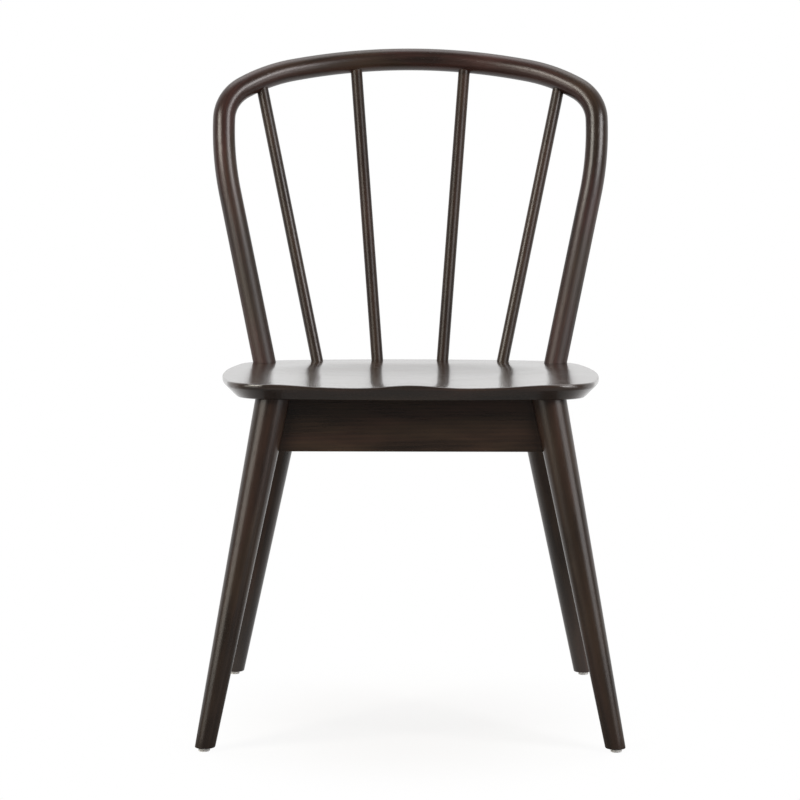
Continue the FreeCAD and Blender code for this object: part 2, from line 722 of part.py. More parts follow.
def main():
    pieces = build_chair()
    shift, box = centre_on_floor(pieces)
    os.makedirs("parts", exist_ok=True)
    for name, piece in pieces.items():
        piece.exportStep("parts/" + name + ".step")
        print(name, "solids", len(piece.Solids), "volume", round(piece.Volume), "valid", piece.isValid())
    print("overall", round(box.XLength, 1), round(box.YLength, 1), round(box.ZLength, 1))
    print("moved by", round(shift.x, 3), round(shift.y, 3), round(shift.z, 3))


main()
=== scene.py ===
"""A dark-stained hoop-back dining chair with plain spindles, dressed around its measured frame.

Everything is in metres, +Z up, with the chair's front towards -Y.
"""

import math

import bmesh
import bpy
from mathutils import Matrix, Vector


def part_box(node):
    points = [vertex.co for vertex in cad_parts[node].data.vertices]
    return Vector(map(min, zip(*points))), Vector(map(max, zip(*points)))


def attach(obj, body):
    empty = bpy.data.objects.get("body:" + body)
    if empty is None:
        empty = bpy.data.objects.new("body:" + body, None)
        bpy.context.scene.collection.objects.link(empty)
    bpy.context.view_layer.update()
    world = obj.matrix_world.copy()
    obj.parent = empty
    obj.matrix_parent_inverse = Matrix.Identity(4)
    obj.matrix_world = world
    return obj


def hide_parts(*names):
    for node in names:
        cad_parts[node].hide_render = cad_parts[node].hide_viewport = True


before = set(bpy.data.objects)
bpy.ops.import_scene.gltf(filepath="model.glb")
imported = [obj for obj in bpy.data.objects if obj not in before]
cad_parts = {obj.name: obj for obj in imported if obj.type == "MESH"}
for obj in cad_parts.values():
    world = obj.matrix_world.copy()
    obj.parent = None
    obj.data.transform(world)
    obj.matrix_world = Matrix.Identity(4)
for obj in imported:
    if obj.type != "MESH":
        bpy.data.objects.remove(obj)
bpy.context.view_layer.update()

bl_info = {
    "name": "Hoop-back chair",
    "version": (1, 0, 0),
    "blender": (4, 5, 0),
    "location": "3D View > Sidebar > Chair",
    "description": "Builds a hoop-back chair with plain spindles around its measured frame",
    "category": "Add Mesh",
}

BODY = "root"
SIDES = ("left", "right")
ROWS = ("front", "rear")
CORNERS = [f"{row}_{side}" for row in ROWS for side in SIDES]
SPINDLE_NODES = [f"spindle_{side}_{place}" for side in SIDES for place in ("inner", "outer")]
STEEL_NODES = ("apron_screws", "seat_screws", "glide_nails")

# The seat's rim plane, and the two levels at which spindles and legs are measured
SEAT_RIM_Z = 0.450
SEAT_TILT = math.radians(0.55)
SPINDLE_LEVELS = (0.50, 0.78)
LEG_LEVELS = (0.05, 0.33)

# Fineness of the meshes
MERGE_WITHIN = 1e-6
SHARP_ANGLE = math.radians(35)
FLAT_ANGLE = math.radians(0.3)
CORNER_ANGLE = math.radians(40)
BEND_STEP = math.radians(3)
BOW_SIDES = 56
ROD_SIDES = 40
LEG_SIDES = 64
FLOOR_SIDES = 96
SPINDLE_RINGS = 24
LEG_RINGS = 32
ROUNDING_STEPS = 6
ARRIS_STEPS = 3

# Turns that bring the grain of a piece to X
UNTURNED = (0.0, 0.0, 0.0)
QUARTER_TURN = (0.0, 0.0, math.pi / 2)


def number(name, default, description, **limits):
    return bpy.props.FloatProperty(name=name, default=default, description=description, **limits)


def length(name, default, description):
    return number(name, default, description, min=0.0, subtype="DISTANCE", unit="LENGTH")


def angle(name, degrees, description):
    return number(name, math.radians(degrees), description, subtype="ANGLE", unit="ROTATION")


def amount(name, default, description):
    return number(name, default, description, min=0.0, max=1.0, subtype="FACTOR")


def colour(name, default, description):
    return bpy.props.FloatVectorProperty(
        name=name, description=description, default=default, size=3, min=0.0, max=1.0, subtype="COLOR")


class BowSizes(bpy.types.PropertyGroup):
    """The bow's front outline, drawn on a surface that leans back and curves round the sitter."""

    diameter: length("Diameter", 0.03034, "Thickness of the bent bow")
    foot_x: length("Foot from middle", 0.1963, "Half the distance between the bow's feet on the seat")
    rise: length("Rise", 0.412, "Height of the crest's centre line above the seat")
    splay: angle("Splay", 12.0, "How far the straight arms lean outwards")
    lower_radius: length("Lower shoulder radius", 0.435, "Long gentle bend above the arms")
    lower_turn: angle("Lower shoulder turn", 13.4, "Turn of that bend")
    corner_radius: length("Corner radius", 0.050, "Tight bend of the corners")
    corner_turn: angle("Corner turn", 58.0, "Turn of the corners")
    upper_radius: length("Upper shoulder radius", 0.213, "Bend between corner and crest")
    upper_turn: angle("Upper shoulder turn", 19.2, "Turn of that bend")
    inset: length("Back line inset", 0.0205, "Distance from the seat's rear edge to the back's line")
    lean: angle("Lean", 16.5, "How far the back leans")
    curve_radius: length("Curve in plan", 0.450, "Radius of the back as seen from above")
    tenon_diameter: length("Tenon diameter", 0.020, "Round tenon under each foot")
    tenon_length: length("Tenon length", 0.0155, "Depth of that tenon in the seat")
    spacing: length("Ring spacing", 0.004, "Distance between the rings of the tube")


class TurnedSizes(bpy.types.PropertyGroup):
    """Sizes that the turned pieces share."""

    tenon_diameter: length("Spindle tenon", 0.010, "Diameter of the tenons at both ends of a spindle")
    tenon_in_bow: length("Tenon in bow", 0.012, "Length of the upper tenon")
    tenon_bevel: length("Tenon bevel", 0.0008, "Small bevel at a tenon's end")
    end_rounding: length("Leg end rounding", 0.0012, "Rounding of a leg's lower edge")
    seat_thickness: length("Seat thickness", 0.020, "Distance from the seat's rim plane to the legs' tops")
    joint_gap: length("Joint gap", 0.00015, "Hairline gap where a shoulder meets its neighbour")
    fit_gap: length("Fit gap", 0.0001, "Gap all round a tenon in its socket")
    socket_spare: length("Socket spare", 0.0005, "Depth of a socket in the bow beyond its tenon's end")


class BoardSizes(bpy.types.PropertyGroup):
    """Sizes of the flat boards."""

    arris: length("Arris", 0.0009, "Softening of the long edges of aprons and corner blocks")
    shortest_softened: length("Shortest softened edge", 0.05, "Edges shorter than this stay sharp")


class Finishes(bpy.types.PropertyGroup):
    """Colours, roughness and gloss of every finish."""

    dark_stain: colour("Dark stain", (0.0090, 0.0056, 0.0041), "Stain where the wood took most of it")
    brown_stain: colour("Brown stain", (0.0500, 0.0295, 0.0172), "Stain where the wood shows through")
    red_stain: colour("Red stain", (0.0640, 0.0255, 0.0205), "Redder patches of the stain")
    block_wood: colour("Corner block wood", (0.115, 0.068, 0.038), "Thinly stained wood under the seat")
    dowel_wood: colour("Dowel wood", (0.46, 0.30, 0.16), "Raw hardwood of the dowels")
    glide_white: colour("Glide plastic", (0.90, 0.89, 0.86), "Off-white glides under the legs")
    steel: colour("Fastener steel", (0.56, 0.56, 0.57), "Zinc-plated screws and nails")
    sheen: amount("Lacquer roughness", 0.29, "Roughness of the satin lacquer")
    unrubbed: amount("Rougher low down", 0.20, "How much rougher the bow is where no hand rubs it")
    rubbed_from: length("Rubbed from", 0.54, "Height at which hands begin to rub the bow smooth")
    rubbed_to: length("Rubbed to", 0.76, "Height above which the bow is rubbed smooth")
    seat_sheen: amount("Seat roughness", 0.24, "Roughness of the lacquer on the seat")
    seat_coat: amount("Seat coat", 0.7, "Weight of the seat's clear coat")
    bow_gloss: amount("Bow gloss", 0.46, "Specular level of the bow's lacquer")
    bow_redness: amount("Bow redness", 1.0, "How red the bow's patches are")
    block_roughness: amount("Corner block roughness", 0.62, "Roughness of the corner blocks")
    dowel_roughness: amount("Dowel roughness", 0.7, "Roughness of the dowels")
    glide_roughness: amount("Glide roughness", 0.42, "Roughness of the glides where nothing scuffed them")
    steel_roughness: amount("Steel roughness", 0.28, "Roughness of the brightest steel")


class StudioSettings(bpy.types.PropertyGroup):
    """The camera, the floor and the lamps."""

    eye_height: length("Eye height", 0.732, "Height of the camera")
    eye_distance: length("Eye distance", 2.998, "Distance from the camera to the seat's front edge")
    eye_aside: number("Eye aside", -0.0134, "How far the camera stands to the right", unit="LENGTH")
    pitch: angle("Pitch", 5.7106, "How far the camera looks down")
    roll: angle("Roll", 0.12, "How far the camera is turned about its line of sight")
    lens: number("Lens", 112.5, "Focal length in millimetres")
    floor_radius: length("Floor radius", 30.0, "Radius of the round floor")
    # Painted shadow: the floor is painted darker in an ellipse under the chair, and the lamps' real shadow
    # of the chair shows only inside it
    painted_shadow_width: length("Shadow width", 0.34, "How far to the sides the floor shows the chair's shadow")
    painted_shadow_depth: length("Shadow depth", 0.42, "How far to the front and back the floor shows it")
    painted_shadow_forward: length("Shadow forward", 0.12, "How far in front of the chair that shadow centres")
    painted_shadow_share: amount("Shadow share", 0.30, "How strongly the floor shows that shadow")
    sweep_start: length("White floor", 0.55, "Distance behind the chair from which the floor gleams white")
    front_share: amount("Front floor", 0.26, "How bright the floor in front looks to the chair")
    floor_colour: colour("Floor", (0.80, 0.80, 0.80), "Colour of the floor")
    left_tint: colour("Left lamps", (1.0, 0.955, 0.86), "Slightly warm light from the left")
    right_tint: colour("Other lamps", (1.0, 0.975, 0.975), "Nearly white light from the right and above")
    behind: amount("Light from behind", 1.0, "Brightness of the white wall and ceiling behind the chair")
    before: amount("Light from the front", 0.145, "Brightness of the dark room behind the camera")


# Node trees

def socket_called(sockets, name):
    """The socket in use that has this name."""
    return next(socket for socket in sockets if socket.name == name and socket.enabled)


class Value:
    """One output of a node. Arithmetic on it adds Math nodes to its tree."""

    def __init__(self, tree, socket):
        self.tree = tree
        self.socket = socket

    def of(self, name):
        """Another output of the same node."""
        return Value(self.tree, socket_called(self.socket.node.outputs, name))

    def __add__(self, other):
        return self.tree.math("ADD", self, other)

    def __radd__(self, other):
        return self.tree.math("ADD", other, self)

    def __sub__(self, other):
        return self.tree.math("SUBTRACT", self, other)

    def __rsub__(self, other):
        return self.tree.math("SUBTRACT", other, self)

    def __mul__(self, other):
        return self.tree.math("MULTIPLY", self, other)

    def __rmul__(self, other):
        return self.tree.math("MULTIPLY", other, self)

    def __truediv__(self, other):
        return self.tree.math("DIVIDE", self, other)

    def __pow__(self, other):
        return self.tree.math("POWER", self, other)

    def __mod__(self, other):
        return self.tree.math("MODULO", self, other)

    def __abs__(self):
        return self.tree.math("ABSOLUTE", self)


class Tree:
    """A node tree under construction."""

    def __init__(self, tree):
        self.tree = tree

    def add(self, kind, settings=None, inputs=None):
        """Adds a node, sets it up, feeds its sockets and gives its first output."""
        node = self.tree.nodes.new(kind)
        for name, value in (settings or {}).items():
            if name == "captured":
                node.capture_items.new(value, "Value")
            else:
                setattr(node, name, value)
        for key, value in (inputs or {}).items():
            socket = node.inputs[key] if isinstance(key, int) else socket_called(node.inputs, key)
            self.feed(socket, value)
        shown = [output for output in node.outputs if output.enabled]
        return Value(self, shown[0]) if shown else None

    def feed(self, socket, value):
        """Links a socket to a value, or sets it to a constant."""
        if isinstance(value, Value):
            self.tree.links.new(value.socket, socket)
        else:
            socket.default_value = value

    def math(self, operation, first, second=0.0):
        return self.add("ShaderNodeMath", {"operation": operation}, {0: first, 1: second})

    def parts(self, vector):
        """A vector's X, Y and Z, as outputs of one node."""
        return self.add("ShaderNodeSeparateXYZ", {}, {"Vector": vector})

    def together(self, x, y, z):
        return self.add("ShaderNodeCombineXYZ", {}, {"X": x, "Y": y, "Z": z})

    def between(self, value, low, high, start=0.0, end=1.0):
        """value taken from low..high to start..end, with soft ends."""
        return self.add("ShaderNodeMapRange", {"interpolation_type": "SMOOTHSTEP"},
                        {"Value": value, "From Min": low, "From Max": high, "To Min": start, "To Max": end})


# Patterns and finishes

GRAIN = "grain"

# Each pattern's cells to the metre along and across the grain, and what its noise is like
SWAY = dict(along=2.2, across=11.0, detail=2.0, roughness=0.45)
FIBRES = dict(along=34.0, across=1150.0, detail=3.0, roughness=0.6)
PATCHES = dict(along=5.0, across=30.0, detail=3.0, roughness=0.5, distortion=0.6)
PORES = dict(along=150.0, across=1900.0, detail=1.0, roughness=0.4)
CLOUDS = dict(along=9.0, across=42.0, detail=2.0, roughness=0.5)
SCUFFS = dict(along=420.0, across=420.0, detail=4.0, roughness=0.65)
MOULDING = dict(along=2600.0, across=2600.0, detail=2.0, roughness=0.5)
MOTTLE = dict(along=260.0, across=260.0, detail=3.0, roughness=0.6)
SCRATCHES = dict(along=300.0, across=3000.0, detail=2.0, roughness=0.6)

# Growth rings, and where in a noise the pores, red patches, scuffs and dull spots begin and end
RING_SPACING = 0.0042
RING_SWAY = 0.024
PITH_DEPTH = 0.085
RING_FADE = (0.08, 0.5)
PORE_FADE = (0.66, 0.74)
PATCH_FADE = (0.42, 0.62)
SCUFF_FADE = (0.5, 0.8)
DULL_FADE = (0.4, 0.7)

# How much each pattern lets the wood show through the stain, and the sums that show none and all
RINGS_SHOW = 0.09
FIBRES_SHOW = 0.24
CLOUDS_SHOW = 0.75
SHOW_FADE = (0.17, 0.97)

# Stain and lacquer in the pores, and what the grain does to the lacquer
PORE_SHARE = 0.55
PORE_SHADE = 0.35
PORE_ROUGHNESS = 0.10
GRAIN_ROUGHNESS = 0.08
COAT_ROUGHNESS = 0.16
FIBRE_HEIGHT = 0.6
RING_HEIGHT = 0.1
LACQUERED_RELIEF = 0.00003

# Raw wood: what each pattern adds to its lightness, from the dark shade to the light one
RAW_RINGS = 0.45
RAW_FIBRES = 0.35
RAW_PATCHES = 0.3
RAW_PORES = 0.2
RAW_DARK = 0.55
RAW_LIGHT = 1.35
RAW_ROUGHNESS = 0.15
RAW_RELIEF = 0.00012

# Scuffed plastic and dulled steel
WORN_SHADE = 0.82
WORN_SHARE = 0.7
SCUFF_ROUGHNESS = 0.22
SCUFF_HEIGHT = 0.4
MOULDING_HEIGHT = 0.6
MOULDING_RELIEF = 0.00003
DULL_SHADE = 0.6
MOTTLE_ROUGHNESS = 0.2
SCRATCH_ROUGHNESS = 0.08
SCRATCH_RELIEF = 0.00002

# Where in the wood the first piece of each kind is cut, and how far on the next one is
CUTS = {
    "bow": ((0.31, 0.007, 0.003), (0.0, 0.0, 0.0)),
    "seat": ((0.13, 0.0, 0.02), (0.0, 0.0, 0.0)),
    "spindle": ((0.0, 0.0, 0.011), (0.17, 0.013, 0.0)),
    "leg": ((0.0, 0.021, 0.0), (0.23, 0.0, 0.009)),
    "apron": ((0.0, 0.02, 0.04), (0.4, 0.0, 0.0)),
    "block": ((0.0, 0.05, 0.0), (0.1, 0.0, 0.0)),
    "dowel": ((0.0, 0.0, 0.0), (0.0, 0.0, 0.0)),
}


def cut(kind, number=0):
    """Where in the wood a piece is cut, so that like pieces differ in their grain."""
    first, step = CUTS[kind]
    return tuple(start + number * further for start, further in zip(first, step))


def tinted(shade, by=1.0):
    """A colour times a number, with the alpha that a colour socket takes."""
    return (*[min(1.0, by * part) for part in shade], 1.0)


class Finish(Tree):
    """A material with one Principled surface."""

    def __init__(self, name):
        self.material = bpy.data.materials.new(name)
        self.material.use_nodes = True
        super().__init__(self.material.node_tree)
        self.surface = self.tree.nodes["Principled BSDF"]

    def drive(self, name, value):
        """Links one socket of the surface to a value, or sets it to a constant."""
        self.feed(self.surface.inputs[name], value)

    def place(self):
        """Where a point lies, in the chair's frame."""
        return self.add("ShaderNodeTexCoord").of("Object")

    def spot(self, turn=UNTURNED, shift=(0.0, 0.0, 0.0)):
        """Where on the piece a point lies, in metres with X along the grain.

        A piece with no turn carries its own grain as an attribute.
        """
        if turn is None:
            place = self.add("ShaderNodeAttribute", {"attribute_name": GRAIN}).of("Vector")
            turn = UNTURNED
        else:
            place = self.place()
        return self.add("ShaderNodeMapping", {"vector_type": "POINT"},
                        {"Vector": place, "Location": shift, "Rotation": turn})

    def noise(self, spot, along, across, detail, roughness, distortion=0.0):
        """Noise with so many cells to the metre along and across the grain."""
        cells = self.add("ShaderNodeVectorMath", {"operation": "MULTIPLY"},
                         {0: spot, 1: (along, across, across)})
        return self.add("ShaderNodeTexNoise", {},
                        {"Vector": cells, "Scale": 1.0, "Detail": detail, "Roughness": roughness,
                         "Distortion": distortion})

    def mix(self, share, first, second):
        return self.add("ShaderNodeMix", {"data_type": "RGBA"}, {"Factor": share, "A": first, "B": second})

    def bump(self, height, relief):
        """Raises the surface by a pattern's height times the relief, in metres."""
        self.drive("Normal", self.add("ShaderNodeBump", {}, {"Height": height, "Distance": relief}))


def wood_pattern(finish, spot):
    """Rings, fibres, patches and pores of one board, as four values from 0 to 1."""
    sway = finish.noise(spot, **SWAY)
    parts = finish.parts(spot)
    across = parts.of("Y")
    depth = parts.of("Z") + PITH_DEPTH
    radius = (across * across + depth * depth) ** 0.5 + (sway - 0.5) * RING_SWAY
    rings = finish.between(abs((radius / RING_SPACING) % 1.0 - 0.5), *RING_FADE)
    fibres = finish.noise(spot, **FIBRES)
    patches = finish.noise(spot, **PATCHES)
    pores = finish.between(finish.noise(spot, **PORES), *PORE_FADE)
    return rings, fibres, patches, pores


def stained_wood(name, finishes, turn=None, shift=(0.0, 0.0, 0.0), sheen=None, rubbed=False,
                 redness=0.35, gloss=0.5, coat=0.0, relief=1.0):
    """Stained and lacquered hardwood.

    Where rubbed, the lacquer is smoother high up, where hands take the chair, than low down.
    """
    finish = Finish(name)
    spot = finish.spot(turn, shift)
    rings, fibres, patches, pores = wood_pattern(finish, spot)
    clouds = finish.noise(spot, **CLOUDS)
    hue = finish.mix(finish.between(patches, *PATCH_FADE) * redness,
                     tinted(finishes.brown_stain), tinted(finishes.red_stain))
    showing = RINGS_SHOW * rings + FIBRES_SHOW * fibres + CLOUDS_SHOW * clouds
    ground = finish.mix(finish.between(showing, *SHOW_FADE), tinted(finishes.dark_stain), hue)
    shade = finish.mix(pores * PORE_SHARE, ground, tinted(finishes.dark_stain, PORE_SHADE))
    finish.drive("Base Color", shade)
    base = finishes.sheen if sheen is None else sheen
    if rubbed:
        height = finish.parts(finish.place()).of("Z")
        base = finish.between(height, finishes.rubbed_from, finishes.rubbed_to,
                              base + finishes.unrubbed, base)
    finish.drive("Roughness", base + (fibres + clouds - 1.0) * GRAIN_ROUGHNESS + pores * PORE_ROUGHNESS)
    finish.drive("Specular IOR Level", gloss)
    finish.drive("Coat Weight", coat)
    finish.drive("Coat Roughness", COAT_ROUGHNESS)
    finish.bump(fibres * FIBRE_HEIGHT + rings * RING_HEIGHT - pores, LACQUERED_RELIEF * relief)
    return finish.material


def raw_wood(name, shade, turn, shift, roughness):
    """Plain unlacquered wood for the pieces under the seat."""
    finish = Finish(name)
    rings, fibres, patches, pores = wood_pattern(finish, finish.spot(turn, shift))
    lightness = RAW_RINGS * rings + RAW_FIBRES * fibres + RAW_PATCHES * patches - RAW_PORES * pores
    finish.drive("Base Color", finish.mix(lightness, tinted(shade, RAW_DARK), tinted(shade, RAW_LIGHT)))
    finish.drive("Roughness", roughness + (fibres - 0.5) * RAW_ROUGHNESS)
    finish.bump(fibres - pores, RAW_RELIEF)
    return finish.material


def glide_plastic(finishes):
    """Moulded nylon with a faint moulding texture and scuffs from the floor."""
    finish = Finish("glide_plastic")
    spot = finish.spot()
    scuffs, moulding = finish.noise(spot, **SCUFFS), finish.noise(spot, **MOULDING)
    worn = finish.between(scuffs, *SCUFF_FADE, end=WORN_SHARE)
    finish.drive("Base Color", finish.mix(
        worn, tinted(finishes.glide_white), tinted(finishes.glide_white, WORN_SHADE)))
    finish.drive("Roughness", finishes.glide_roughness + scuffs * SCUFF_ROUGHNESS)
    finish.bump(moulding * MOULDING_HEIGHT + scuffs * SCUFF_HEIGHT, MOULDING_RELIEF)
    return finish.material


def fastener_steel(finishes):
    """Zinc-plated steel with soft mottling and drawn scratches."""
    finish = Finish("fastener_steel")
    spot = finish.spot()
    mottle, scratches = finish.noise(spot, **MOTTLE), finish.noise(spot, **SCRATCHES)
    finish.drive("Base Color", finish.mix(
        finish.between(mottle, *DULL_FADE), tinted(finishes.steel), tinted(finishes.steel, DULL_SHADE)))
    finish.drive("Metallic", 1.0)
    rougher = mottle * MOTTLE_ROUGHNESS + scratches * SCRATCH_ROUGHNESS
    finish.drive("Roughness", finishes.steel_roughness + rougher)
    finish.bump(scratches, SCRATCH_RELIEF)
    return finish.material


# Geometry Nodes trees

def new_tree(name, *sizes):
    """An empty Geometry Nodes group with named inputs, and its Tree."""
    group = bpy.data.node_groups.new(name, "GeometryNodeTree")
    group.interface.new_socket("Geometry", in_out="INPUT", socket_type="NodeSocketGeometry")
    for label, kind, default in sizes:
        socket = group.interface.new_socket(label, in_out="INPUT", socket_type="NodeSocket" + kind)
        if default is not None:
            socket.default_value = default
    group.interface.new_socket("Geometry", in_out="OUTPUT", socket_type="NodeSocketGeometry")
    return Tree(group)


def close_tree(tree, shape, material):
    """Realizes what the tree made, gives it its material and sends it out."""
    whole = tree.add("GeometryNodeRealizeInstances", {}, {"Geometry": shape})
    dressed = tree.add("GeometryNodeSetMaterial", {}, {"Geometry": whole, "Material": material})
    tree.add("NodeGroupOutput", {}, {"Geometry": dressed})
    return tree.tree


def with_grain(tree, shape, x, y, z):
    """Stores where each point lies in the wood, with X along the grain."""
    return tree.add("GeometryNodeStoreNamedAttribute", {"data_type": "FLOAT_VECTOR", "domain": "POINT"}, {
        "Geometry": shape, "Name": GRAIN, "Value": tree.together(x, y, z)})


def captured(tree, kind, shape, value):
    """The shape with a value kept on its points, which the output Value gives."""
    return tree.add("GeometryNodeCaptureAttribute", {"captured": kind}, {"Geometry": shape, "Value": value})


def swept_tube_tree():
    """A round tube along a line of points, which stores the grain that runs along it."""
    tree = new_tree("swept_tube", ("Diameter", "Float", 0.03), ("Sides", "Int", 48),
                    ("Material", "Material", None))
    entry = tree.add("NodeGroupInput")
    line = tree.add("GeometryNodeMeshToCurve", {}, {"Mesh": entry})
    line = captured(tree, "FLOAT", line, tree.add("GeometryNodeSplineParameter").of("Length"))
    ring = tree.add("GeometryNodeCurvePrimitiveCircle", {}, {
        "Resolution": entry.of("Sides"), "Radius": entry.of("Diameter") * 0.5})
    ring = captured(tree, "VECTOR", ring, tree.add("GeometryNodeInputPosition"))
    tube = tree.add("GeometryNodeCurveToMesh", {}, {
        "Curve": line, "Profile Curve": ring, "Fill Caps": True})
    across = tree.parts(ring.of("Value"))
    tube = with_grain(tree, tube, line.of("Value"), across.of("X"), across.of("Y"))
    return close_tree(tree, tube, entry.of("Material"))


def lathe_tree():
    """A profile of points, in the XZ plane, turned round the Z axis, which stores its grain."""
    tree = new_tree("lathe", ("Sides", "Int", 48), ("Material", "Material", None))
    entry = tree.add("NodeGroupInput")
    count = tree.add("GeometryNodeAttributeDomainSize", {"component": "MESH"}, {"Geometry": entry})
    columns = entry.of("Sides") + 1.0
    grid = tree.add("GeometryNodeMeshGrid", {}, {"Vertices X": count, "Vertices Y": columns})
    number = tree.add("GeometryNodeInputIndex")
    row = tree.math("FLOOR", (number + 0.5) / columns)
    turn = (number - row * columns) * (2 * math.pi) / entry.of("Sides")
    place = tree.add("GeometryNodeInputPosition")
    mark = tree.add("GeometryNodeSampleIndex", {"data_type": "FLOAT_VECTOR", "domain": "POINT"}, {
        "Geometry": entry, "Value": place, "Index": row})
    parts = tree.parts(mark)
    x = parts.of("X") * tree.math("COSINE", turn)
    y = parts.of("X") * tree.math("SINE", turn)
    z = parts.of("Z")
    shape = tree.add("GeometryNodeSetPosition", {}, {"Geometry": grid, "Position": tree.together(x, y, z)})
    shape = with_grain(tree, shape, z, x, y)
    shape = tree.add("GeometryNodeMergeByDistance", {}, {"Geometry": shape, "Distance": MERGE_WITHIN})
    return close_tree(tree, shape, entry.of("Material"))


def tree_called(name, maker):
    return bpy.data.node_groups.get(name) or maker()


# Making pieces

def linked(name, data):
    """A new object in the scene, for a mesh, a lamp or a camera."""
    thing = bpy.data.objects.new(name, data)
    bpy.context.scene.collection.objects.link(thing)
    return thing


def settle(piece):
    """Swaps the piece's mesh for its finished one and drops the modifiers."""
    graph = bpy.context.evaluated_depsgraph_get()
    mesh = bpy.data.meshes.new_from_object(
        piece.evaluated_get(graph), preserve_all_data_layers=True, depsgraph=graph)
    piece.modifiers.clear()
    piece.data = mesh


def grown(name, points, tree, **sizes):
    """A piece that a Geometry Nodes tree makes from a line of points."""
    line = bpy.data.meshes.new(name)
    line.from_pydata([tuple(point) for point in points], [(i, i + 1) for i in range(len(points) - 1)], [])
    piece = linked(name, line)
    modifier = piece.modifiers.new("shape", "NODES")
    modifier.node_group = tree
    for entry in tree.interface.items_tree:
        if entry.item_type == "SOCKET" and entry.in_out == "INPUT" and entry.name in sizes:
            modifier[entry.identifier] = sizes[entry.name]
    settle(piece)
    return piece


def lathed(name, profile, sides, material):
    """A piece turned round Z from its profile in the XZ plane."""
    return grown(name, profile, tree_called("lathe", lathe_tree), Sides=sides, Material=material)


def faces_outwards(piece):
    """Joins doubled points and turns every face of the closed piece outwards."""
    shape = bmesh.new()
    shape.from_mesh(piece.data)
    bmesh.ops.remove_doubles(shape, verts=shape.verts, dist=MERGE_WITHIN)
    bmesh.ops.recalc_face_normals(shape, faces=shape.faces)
    shape.to_mesh(piece.data)
    shape.free()


def smooth_faces(piece):
    """Shades round faces smooth and keeps the piece's corners sharp."""
    piece.data.shade_smooth()
    piece.data.set_sharp_from_angle(angle=SHARP_ANGLE)


def join_or_carve(piece, tool, operation):
    """Joins a tool to the piece with UNION, or carves it out with DIFFERENCE."""
    modifier = piece.modifiers.new("carve", "BOOLEAN")
    modifier.operation = operation
    modifier.solver = "EXACT"
    modifier.object = tool
    settle(piece)


def keep_tallest(piece):
    """Keeps only that separate shell of a piece that spans the most height."""
    shape = bmesh.new()
    shape.from_mesh(piece.data)
    shells, seen = [], set()
    for start in shape.verts:
        if start in seen:
            continue
        shell, rest = set(), [start]
        while rest:
            vertex = rest.pop()
            if vertex not in shell:
                shell.add(vertex)
                rest += [edge.other_vert(vertex) for edge in vertex.link_edges]
        seen |= shell
        shells.append(shell)
    shells.sort(key=lambda shell: max(v.co.z for v in shell) - min(v.co.z for v in shell))
    for shell in shells[:-1]:
        bmesh.ops.delete(shape, geom=list(shell), context="VERTS")
    shape.to_mesh(piece.data)
    shape.free()


def trim(piece, point, way):
    """Cuts a closed piece square across at a point, and keeps what lies on the way's side."""
    shape = bmesh.new()
    shape.from_mesh(piece.data)
    made = bmesh.ops.bisect_plane(
        shape, geom=shape.verts[:] + shape.edges[:] + shape.faces[:],
        plane_co=point, plane_no=way, clear_inner=True)
    edges = [part for part in made["geom_cut"] if isinstance(part, bmesh.types.BMEdge)]
    bmesh.ops.edgeloop_fill(shape, edges=edges)
    bmesh.ops.recalc_face_normals(shape, faces=shape.faces)
    shape.to_mesh(piece.data)
    shape.free()


def stands_for(piece, node):
    """Puts a finished piece in its node's place, under the chair's body, and hides the node."""
    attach(piece, BODY)
    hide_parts(node)


def give(node, material):
    """Dresses a node of the frame as it is."""
    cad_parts[node].material_slots[0].material = material


# Measuring the frame

def section(node, height):
    """Middle and half width of a node's level section at a height."""
    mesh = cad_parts[node].data
    crossings = []
    for edge in mesh.edges:
        first, second = (mesh.vertices[number].co for number in edge.vertices)
        if (first.z - height) * (second.z - height) < 0:
            crossings.append(first.lerp(second, (height - first.z) / (second.z - first.z)))
    low = Vector(min(point[axis] for point in crossings) for axis in range(3))
    high = Vector(max(point[axis] for point in crossings) for axis in range(3))
    return (low + high) / 2, (high - low) / 2


def seat_plane():
    """A point of the seat's rim plane and the plane's upward direction."""
    front_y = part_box("seat_panel")[0].y
    return Vector((0, front_y, SEAT_RIM_Z)), Vector((0, math.sin(SEAT_TILT), math.cos(SEAT_TILT)))


def seat_top_z(y):
    """Height of the seat's rim plane, so far back."""
    point, _ = seat_plane()
    return point.z - math.tan(SEAT_TILT) * (y - point.y)


class Axis:
    """The axis of a round node, from two level sections of it."""

    def __init__(self, node, low, high):
        (self.low, low_half), (self.high, high_half) = section(node, low), section(node, high)
        self.way = (self.high - self.low).normalized()
        self.radii = [self.true_radius(half) for half in (low_half, high_half)]

    def true_radius(self, half):
        """Radius square to the axis, from the half widths of a level section."""
        return half.x * math.sqrt(1 - self.way.x ** 2 / (1 - self.way.y ** 2))

    def at(self, height):
        return self.low + (self.high - self.low) * (height - self.low.z) / (self.high.z - self.low.z)

    def radius_at(self, height):
        share = (height - self.low.z) / (self.high.z - self.low.z)
        return self.radii[0] + (self.radii[1] - self.radii[0]) * share

    def leaned(self):
        """The change of place that leans a piece turned round Z along this axis.

        Its rings stay level, and are widened so that they are round square to the axis.
        """
        rise = self.way / self.way.z
        sideways = Vector((self.way.x, self.way.y, 0)).normalized()
        stretch = 1 / self.way.z
        lean = Matrix.Identity(3)
        for row in range(2):
            for column in range(2):
                lean[row][column] += (stretch - 1) * sideways[row] * sideways[column]
            lean[row][2] = rise[row]
        return Matrix.Translation(self.at(0.0)) @ lean.to_4x4()


# The bow's path

class Bend:
    """One arc of the bow's front outline, turning inwards as it climbs."""

    def __init__(self, x, rise, heading, turn, radius):
        self.heading, self.turn, self.radius = heading, turn, radius
        self.centre = (x - radius * math.cos(heading), rise + radius * math.sin(heading))

    def at(self, share):
        heading = self.heading - self.turn * share
        return (self.centre[0] + self.radius * math.cos(heading),
                self.centre[1] - self.radius * math.sin(heading), heading)


